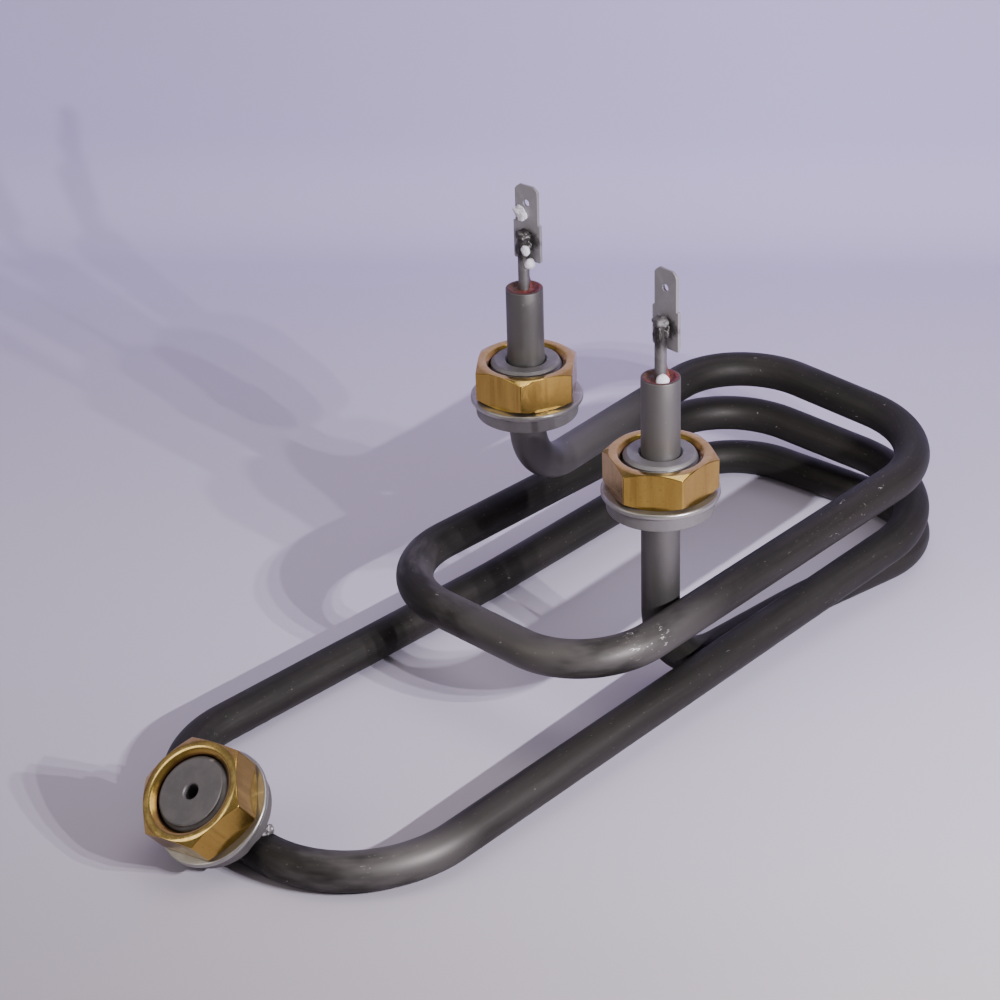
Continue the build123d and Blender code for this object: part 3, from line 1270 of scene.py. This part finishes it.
@dataclass
class Washer:
    """A flat washer with rounded rims."""

    name: str
    node: str
    place: Matrix
    finish: bpy.types.Material
    thickness: float
    radius: float = 12.95
    bore: float = 8.5
    rim: float = 0.5
    bore_rim: float = 0.15
    columns: int = 128

    def build(self) -> None:
        """Builds the washer."""
        outline = eased(
            (self.bore, 0, self.bore_rim),
            (self.radius, 0, self.rim),
            (self.radius, self.thickness, self.rim),
            (self.bore, self.thickness, self.bore_rim),
        )
        piece = ring_piece(self.name, outline[:, None], around(self.columns), self.place)
        dress(piece, self.finish, Slot.PLATED, self.node)


@dataclass
class Fitting:
    """A flanged stud with its washer and nut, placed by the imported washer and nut."""

    name: str
    stud_node: str
    nut_turn: float
    inner: list
    finishes: Finishes
    stud_finish: bpy.types.Material
    stem_length: float = 9.9
    foot_radius: float = 4.35
    flange_thickness: float = 3.4
    washer_thickness: float = 1.3
    nut_height: float = 8.5

    def axis(self) -> Vector:
        """Direction from washer to nut."""
        return (box_centre(f"hex_nut_{self.name}") - box_centre(f"washer_{self.name}")).normalized()

    def seat(self, rise: float = 0.0) -> Matrix:
        """Place on the axis, at a height in millimetres above the underside of the flange."""
        stack = self.flange_thickness + self.washer_thickness / 2
        return placed(box_centre(f"washer_{self.name}") + self.axis() * (rise - stack), self.axis())

    def build(self) -> None:
        """Builds stud, washer and nut."""
        name = self.name
        on_washer = self.flange_thickness + self.washer_thickness
        Stud(
            f"threaded_stud_{name}", self.stud_node, self.seat(), self.stud_finish, self.inner, self.stem_length,
            self.foot_radius, self.flange_thickness,
        ).build()
        Washer(
            f"rounded_washer_{name}", f"washer_{name}", self.seat(self.flange_thickness), self.finishes.washer,
            self.washer_thickness,
        ).build()
        HexNut(
            f"brass_nut_{name}", f"hex_nut_{name}", self.seat(on_washer), self.finishes.brass, self.nut_turn,
            self.nut_height,
        ).build()


@dataclass
class Terminal:
    """Everything on one leg of the tube: stud, washer, nut, pin, seal, tab and weld."""

    name: str
    nut_turn: float
    tab_turn: float
    seed: float
    finishes: Finishes
    sleeve_bore: float = 4.35
    sleeve_edge: float = 0.5
    stud_height: float = 13.3
    pin_radius: float = 1.3
    pin_rise: float = 13.6
    pin_depth: float = 32.0
    tube_bore: float = 3.4
    seal_depth: float = 8.0
    seal_rings: int = 18
    seal_columns: int = 64
    seal_overlap: float = 0.02
    spill_radius: float = 3.9
    dish_start: float = 0.18
    dish_rate: float = 1.25
    dish_depth: float = 0.4
    dish_sink: float = 0.25
    rim_ragged: float = 0.22
    wave: tuple[float, float] = (0.07, 0.3)
    streak_start: float = 0.55
    streak_scale: float = 0.2
    streak_height: float = 3.2
    streak_angle: float = -0.75
    streak_width: float = 0.5
    blade_width: float = 6.3
    shoulder_width: float = 7.5
    tab_thickness: float = 0.8
    tab_face: float = 1.35
    tab_rise: float = 6.2
    shoulder_length: float = 9.0
    blade_length: float = 8.9
    blade_corner: float = 1.3
    hole_corners: int = 28
    tip_length: float = 1.1
    tip_thinning: float = 0.35
    edge_rounding: float = 0.09
    hole_radius: float = 0.85
    hole_to_tip: float = 4.2
    weld_rise: float = 10.4
    weld_rough: float = 0.35
    nugget_size: Triple = (1.05, 1.75, 1.9)
    cap_size: Triple = (1.55, 1.8, 1.25)
    drop_size: Triple = (0.55, 0.5, 1.6)
    drops: int = 3
    ridge_radius: float = 0.42
    ridge_tilt: float = 1.3
    ridge_angles: tuple[float, ...] = (-150, -115, -80, -45, -10, 25, 55)

    def build(self) -> None:
        """Builds every piece of the terminal."""
        middle = box_centre(f"resin_seal_{self.name}")
        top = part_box(f"terminal_pin_{self.name}")[1].z / MM
        self.mouth = placed(Vector((middle.x, middle.y, top - self.pin_rise)))
        self.turned_mouth = self.mouth @ Matrix.Rotation(math.radians(self.tab_turn), 4, "Z")
        inner = [
            (self.sleeve_bore + self.sleeve_edge, self.stud_height, 0.1),
            (self.sleeve_bore, self.stud_height - self.sleeve_edge, 0.1),
        ]
        stud_node = f"flanged_stud_{self.name}"
        Fitting(self.name, stud_node, self.nut_turn, inner, self.finishes, self.finishes.stud).build()
        self._pin()
        self._seal()
        self._tab()
        self._weld()

    def _pin(self) -> None:
        """Builds the pin with a softened top."""
        outline = eased(
            (0.0, -self.pin_depth, 0),
            (self.pin_radius, -self.pin_depth, 0.2),
            (self.pin_radius, self.pin_rise, 0.5),
            (0.0, self.pin_rise, 0),
        )
        piece = ring_piece(f"pin_{self.name}", outline[:, None], around(40), self.mouth)
        dress(piece, self.finishes.pin, Slot.TERMINAL, f"terminal_pin_{self.name}")

    def _seal(self) -> None:
        """Builds the dished resin with the streak that climbs the pin."""
        angles = around(self.seal_columns)
        inner = self.pin_radius - self.seal_overlap
        rings = []
        for share in np.linspace(0, 1, self.seal_rings):
            radius = self.spill_radius + (inner - self.spill_radius) * share
            inward = min(1.0, max(0.0, share - self.dish_start) * self.dish_rate)
            dish = -self.dish_depth * math.sin(math.pi * inward) - self.dish_sink * share
            steep = max(0.0, share - self.streak_start) ** 2 / self.streak_scale
            ring = []
            for angle in angles:
                spot = Vector((math.cos(angle) * radius, math.sin(angle) * radius, self.seed))
                ragged = self.rim_ragged * (1 - share) ** 4 * noise.noise(spot * 1.9)
                wave = self.wave[0] + self.wave[1] * share * noise.noise(spot * 0.8)
                side = math.remainder(angle - self.streak_angle, 2 * math.pi) / self.streak_width
                climb = steep * self.streak_height * math.exp(-side * side)
                ring.append((radius + ragged, dish + wave + climb))
            rings.append(ring)
        for row in ((inner, -self.seal_depth), (self.tube_bore, -self.seal_depth), (self.tube_bore, 0.0)):
            rings.append([row] * self.seal_columns)
        piece = ring_piece(f"seal_{self.name}", np.array(rings), angles, self.mouth, flats=False)
        dress(piece, self.finishes.resin, Slot.RESIN, f"resin_seal_{self.name}")

    def tab_outline(self) -> list[tuple[float, float]]:
        """Outer edge of the tab seen from its face.

        Returns:
            Points across and up, in millimetres.
        """
        blade = self.blade_width / 2
        shoulder = self.shoulder_width / 2
        height = self.shoulder_length + self.blade_length
        right = [
            (shoulder - 0.3, 0),
            (shoulder, 0.3),
            (shoulder, self.shoulder_length - 0.15),
            (shoulder - 0.15, self.shoulder_length),
            (blade, self.shoulder_length),
            (blade, height - self.blade_corner),
            (blade - 0.25 * self.blade_corner, height - 0.6 * self.blade_corner),
            (blade - self.blade_corner, height),
        ]
        return right + [(-across, up) for across, up in reversed(right)]

    def _tab(self) -> None:
        """Builds the stamped tab with its hole, softened edges and tapered tip."""
        work = bmesh.new()
        height = self.shoulder_length + self.blade_length
        hole = [heading(360 * step / self.hole_corners) * self.hole_radius for step in range(self.hole_corners)]
        edges = []
        for loop in (self.tab_outline(), [(point.x, height - self.hole_to_tip + point.y) for point in hole]):
            verts = [work.verts.new((self.tab_face, across, self.tab_rise + up)) for across, up in loop]
            edges += [work.edges.new((verts[index - 1], verts[index])) for index in range(len(verts))]
        bmesh.ops.triangle_fill(work, edges=edges, use_beauty=True)
        made = bmesh.ops.extrude_face_region(work, geom=list(work.faces))
        moved = [item for item in made["geom"] if isinstance(item, bmesh.types.BMVert)]
        bmesh.ops.translate(work, verts=moved, vec=(self.tab_thickness, 0, 0))
        bmesh.ops.recalc_face_normals(work, faces=work.faces)
        sharp = [edge for edge in work.edges if edge.is_manifold and edge.calc_face_angle(0) > math.radians(60)]
        bmesh.ops.bevel(work, geom=sharp, offset=self.edge_rounding, segments=2, affect="EDGES", profile=0.5)
        middle = self.tab_face + self.tab_thickness / 2
        for vertex in work.verts:
            near = max(0.0, 1 - (self.tab_rise + height - vertex.co.z) / self.tip_length)
            vertex.co.x = middle + (vertex.co.x - middle) * (1 - self.tip_thinning * near)
        points = np.array([tuple(vertex.co) for vertex in work.verts])
        work.verts.index_update()
        faces = [tuple(vertex.index for vertex in face.verts) for face in work.faces]
        work.free()
        piece = mesh_object(f"tab_{self.name}", points, faces, self.turned_mouth, flats=True)
        dress(piece, self.finishes.tab, Slot.TERMINAL, f"spade_tab_{self.name}")

    def _weld(self) -> None:
        """Builds the weld: a nugget behind the pin, a curved ridge, a cap and drops."""
        low = self.weld_rise
        scorched, bright = self.finishes.weld, self.finishes.ridge
        self._lump("weld_nugget", (0.55, 0, low), self.nugget_size, 0, scorched, f"tab_weld_{self.name}")
        angles = [math.radians(angle) + self.ridge_tilt for angle in self.ridge_angles]
        ridge = [(1.05, 2.0 * math.cos(angle), low + 0.3 + 2.2 * math.sin(angle)) for angle in angles]
        piece = rope(f"weld_ridge_{self.name}", ridge, self.ridge_radius, self.seed, self.turned_mouth)
        dress(piece, bright, Slot.WELD)
        cap = (0.05, 0.1, self.pin_rise - 0.9)
        self._lump("weld_cap", cap, self.cap_size, 4, bright if self.name == "front" else scorched)
        for step in range(self.drops):
            foot = (-0.35 - 0.35 * step, 1.25 - 1.0 * step, low - 1.0 + 0.4 * step)
            self._lump("weld_drop", foot, self.drop_size, step, scorched, ending=f"_{step}")

    def _lump(
        self,
        kind: str,
        centre: Triple,
        size: Triple,
        seed: float,
        finish: bpy.types.Material,
        *nodes: str,
        ending: str = "",
    ) -> None:
        """Builds one lump of weld metal.

        Args:
            kind: First words of its name.
            centre: Its middle in millimetres, above the mouth of the tube.
            size: Its half sizes in millimetres.
            seed: Step of its noise from the terminal's own.
            finish: Its finish.
            *nodes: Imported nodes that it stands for.
            ending: Last letters of its name.
        """
        name = f"{kind}_{self.name}{ending}"
        piece = lump(name, Vector(centre), size, self.seed + seed, self.weld_rough, self.turned_mouth)
        dress(piece, finish, Slot.WELD, *nodes)


@dataclass
class SensorFitting:
    """The tilted stud on the end run, with its washer, nut and weld."""

    finishes: Finishes
    nut_turn: float = 40.0
    stem_length: float = 9.3
    flange_thickness: float = 3.4
    hole_radius: float = 1.65
    hole_depth: float = 8.0
    hole_edge: float = 0.25
    drill_point: float = 1.0
    bar_reach: float = 5.0
    bar_sides: tuple[float, ...] = (-12.2, -8, -3, 3, 8, 12.2)
    bar_drop: float = 1.9
    bar_radius: float = 1.5
    beads: int = 5
    bead_size: Triple = (1.5, 1.0, 1.3)
    bead_rough: float = 0.4

    def build(self) -> None:
        """Builds every piece of the fitting."""
        top = self.flange_thickness + self.stem_length
        bottom = top - self.hole_depth
        inner = [
            (self.hole_radius + self.hole_edge, top, 0.1),
            (self.hole_radius, top - 0.3, 0.1),
            (self.hole_radius, bottom, 0),
            (0.0, bottom - self.drill_point, 0),
            (0.0, 0.0, 0),
        ]
        finish = self.finishes.sensor_stud
        fitting = Fitting(
            "sensor", "sensor_stud", self.nut_turn, inner, self.finishes, finish, self.stem_length, foot_radius=0.5
        )
        fitting.build()
        self._weld(fitting.seat())

    def _weld(self, place: Matrix) -> None:
        """Builds the weld metal between flange and tube.

        Args:
            place: Place of the flange's underside, with its first axis up the slope.
        """
        route = [(-self.bar_reach, side, 0.1 * abs(side) / 12 - self.bar_drop) for side in self.bar_sides]
        bar = rope("weld_bar", route, self.bar_radius, 2.0, place)
        dress(bar, self.finishes.weld, Slot.WELD, "sensor_weld")
        for side in (-1, 1):
            for step in range(self.beads):
                spot = Vector((1.8 - 1.15 * step, side * (11.3 - 0.12 * step), -1.0 - 0.2 * (step % 2)))
                name = f"weld_bead_{side + 1}_{step}"
                bead = lump(name, spot, self.bead_size, step + 5.0 * side, self.bead_rough, place)
                dress(bead, self.finishes.bead, Slot.WELD)


@dataclass
class HiddenPieces:
    """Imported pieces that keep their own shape."""

    finishes: Finishes

    def build(self) -> None:
        """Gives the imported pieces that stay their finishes."""
        dressed = {
            "magnesia_fill": self.finishes.magnesia,
            "resistance_coil": self.finishes.wire,
            "braze_ring_rear": self.finishes.weld,
            "braze_ring_front": self.finishes.weld,
        }
        for node, material in dressed.items():
            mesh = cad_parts[node].data
            mesh.materials.clear()
            mesh.materials.append(material)
            log.info("%s: packed shape kept", node)


@dataclass
class Crumbs:
    """White crumbs that lie on the terminals."""

    finishes: Finishes

    def build(self) -> None:
        """Builds the crumbs on both terminals."""
        middle = box_centre("spade_tab_rear")
        tab = (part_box("spade_tab_rear")[0].x / MM, middle.y, middle.z)
        seal = box_centre("resin_seal_front")
        spots = (
            ("crumb_blade", tab, (-0.1, 1.4, 2.2), (0.7, 1.7, 1.5), 3.0, 0.7),
            ("crumb_weld", tab, (-2.2, -1.9, -5.3), (0.8, 1.15, 1.25), 9.0, 0.2),
            ("crumb_pin", tab, (-0.9, -1.9, -8.9), (1.2, 1.25, 1.3), 12.0, 0.12),
            ("crumb_resin", seal, (-1.2, -1.6, 4.1), (1.45, 1.45, 1.45), 15.0, 0.1),
        )
        for name, base, offset, size, seed, rough in spots:
            centre = Vector([start + step for start, step in zip(base, offset)])
            crumb = lump(name, centre, size, seed, rough, Matrix.Identity(4))
            dress(crumb, self.finishes.crumb, Slot.MAGNESIA)


# Setting


@dataclass
class Studio:
    """Pale floor that runs up into a backdrop, soft lights and the camera, in millimetres."""

    shift: Vector
    eye: Vector = Vector((-292.33, -364.76, 336.05))
    ahead: Vector = Vector((0.625469, 0.614154, -0.481252))
    right: Vector = Vector((0.689368, -0.723877, -0.02783))
    lens: float = 99.34
    key: Vector = Vector((54.0, -320.0, 190.0))
    key_steps: tuple[float, ...] = (-29.0, 0.0, 29.0)
    key_look: tuple[float, float, Colour] = (5.0, 0.82, (0.95, 0.94, 1.0))
    fills: tuple[tuple, ...] = (
        ("fill_left", Vector((-620, 250, 480)), 500.0, 1.5, (1.0, 0.97, 0.91)),
        ("fill_top", Vector((60, -120, 800)), 600.0, 2.0, (1.0, 0.975, 0.94)),
    )
    lit_at: Vector = Vector((0, 0, 20))
    sky: Colour = (0.95, 0.9, 0.85)
    sky_strength: float = 0.27
    foot_left: Vector = Vector((177.3, 301.8, 0.0))
    foot_right: Vector = Vector((366.3, 67.8, 0.0))
    bend: float = 30.0
    bend_steps: int = 8
    reach: float = 1500.0
    wall_height: float = 900.0
    paper: Colour = (0.565, 0.51, 0.65)
    # Painted shade: darker paper tone for the near floor.
    painted_shade_near_paper: Colour = (0.293, 0.264, 0.254)
    # Painted light: brighter, bluer paper tone for the far floor and the wall.
    painted_light_far_paper: Colour = (0.59, 0.51, 0.9)
    # Painted shade for the left side of the floor, also the darker tone of the broad random mottle.
    painted_shade_and_mottle_paper: Colour = (0.34, 0.31, 0.385)

    def build(self, effects: Effects) -> None:
        """Builds the whole setting.

        Args:
            effects: Shared effects.
        """
        self._backdrop(self._paper(effects))
        for step in self.key_steps:
            self._lamp("key", self.key + self.shift + Vector((step, 0, 0)), *self.key_look)
        for fill in self.fills:
            self._lamp(*fill)
        world = bpy.data.worlds.new("studio")
        world.use_nodes = True
        background = world.node_tree.nodes["Background"]
        background.inputs["Color"].default_value = (*self.sky, 1)
        background.inputs["Strength"].default_value = self.sky_strength
        bpy.context.scene.world = world
        self._camera()

    def _paper(self, effects: Effects) -> bpy.types.Material:
        """Builds the paper's finish, whose tone changes over the floor: painted shade darkens the near floor and the
        left side, and painted light makes the far floor and the wall brighter and bluer.

        Args:
            effects: Shared effects.

        Returns:
            The material.
        """
        nodes = Surface("pale_paper")
        place = nodes.place()
        mottle = nodes.group(effects.mottle, Vector=place, Scale=6.0)["Mask"]
        depth, side = (
            nodes.measure("DOT_PRODUCT", place, Vector((way.x, way.y, 0)).normalized())
            for way in (self.ahead, self.right)
        )
        # Painted shade: the near floor is darker.
        tone = nodes.mix(nodes.span(depth, -0.2, 0.05), self.painted_shade_near_paper, self.paper)
        # Painted light: the far floor and the wall are brighter and bluer.
        tone = nodes.mix(nodes.span(depth, 0.05, 0.35), tone, self.painted_light_far_paper)
        # Painted shade: the left side of the floor is darker.
        tone = nodes.mix(nodes.span(side, -0.16, 0.08, 0.22, 0.0), tone, self.painted_shade_and_mottle_paper)
        # The broad mottle mixes in the same darker tone at random.
        tone = nodes.mix(nodes.times(mottle, 0.06), tone, self.painted_shade_and_mottle_paper)
        return nodes.look(Base_Color=tone, Roughness=0.75)

    def _backdrop(self, paper: bpy.types.Material) -> None:
        """Builds the floor and the wall as one sheet with a soft bend.

        Args:
            paper: Finish of the sheet.
        """
        along = (self.foot_right - self.foot_left).normalized()
        middle = (self.foot_left + self.foot_right) / 2 + self.shift
        out = UP.cross(along)
        if middle.dot(out) > 0:
            out = -out
        profile = [(self.reach, 0.0), (self.bend, 0.0)]
        for step in range(1, self.bend_steps + 1):
            angle = math.pi / 2 * step / self.bend_steps
            profile.append((self.bend * (1 - math.sin(angle)), self.bend * (1 - math.cos(angle))))
        profile.append((0.0, self.wall_height))
        points = []
        for depth, height in profile:
            for side in (-1, 1):
                points.append(tuple(middle + out * depth + along * side * self.reach + UP * height))
        faces = [(2 * row, 2 * row + 1, 2 * row + 3, 2 * row + 2) for row in range(len(profile) - 1)]
        sheet = mesh_object("backdrop", np.array(points), faces, Matrix.Identity(4))
        sheet.data.materials.append(paper)

    def _lamp(self, name: str, spot: Vector, size: float, power: float, colour: Colour) -> None:
        """Places a round lamp that points at the element.

        Args:
            name: Name of the lamp.
            spot: Its place.
            size: Its diameter.
            power: Its power in watts.
            colour: Its colour.
        """
        light = bpy.data.lights.new(name, "AREA")
        light.shape = "DISK"
        light.size = size * MM
        light.energy = power
        light.color = colour
        lamp = bpy.data.objects.new(name, light)
        lamp.location = spot * MM
        lamp.rotation_euler = (self.lit_at - spot).to_track_quat("-Z", "Y").to_euler()
        bpy.context.scene.collection.objects.link(lamp)

    def _camera(self) -> None:
        """Places the camera."""
        data = bpy.data.cameras.new("camera")
        data.lens = self.lens
        data.sensor_width = 36.0
        data.clip_start = 0.01
        camera = bpy.data.objects.new("camera", data)
        axes = Matrix((self.right, self.right.cross(self.ahead), -self.ahead)).transposed().to_4x4()
        camera.matrix_world = Matrix.Translation((self.eye + self.shift) * MM) @ axes
        bpy.context.scene.collection.objects.link(camera)
        bpy.context.scene.camera = camera


def main() -> None:
    """Builds the element piece by piece, then its setting."""
    logging.basicConfig(level=logging.INFO, format="%(message)s")
    effects = Effects()
    finishes = Finishes(effects)
    tube = SheathTube(effects)
    tube.build()
    Terminal("rear", 37.6, 4.8, 1.0, finishes).build()
    Terminal("front", 2.2, -3.7, 6.0, finishes).build()
    SensorFitting(finishes).build()
    HiddenPieces(finishes).build()
    Crumbs(finishes).build()
    Studio(tube.shift()).build(effects)


if __name__ == "__main__":
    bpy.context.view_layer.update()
    main()
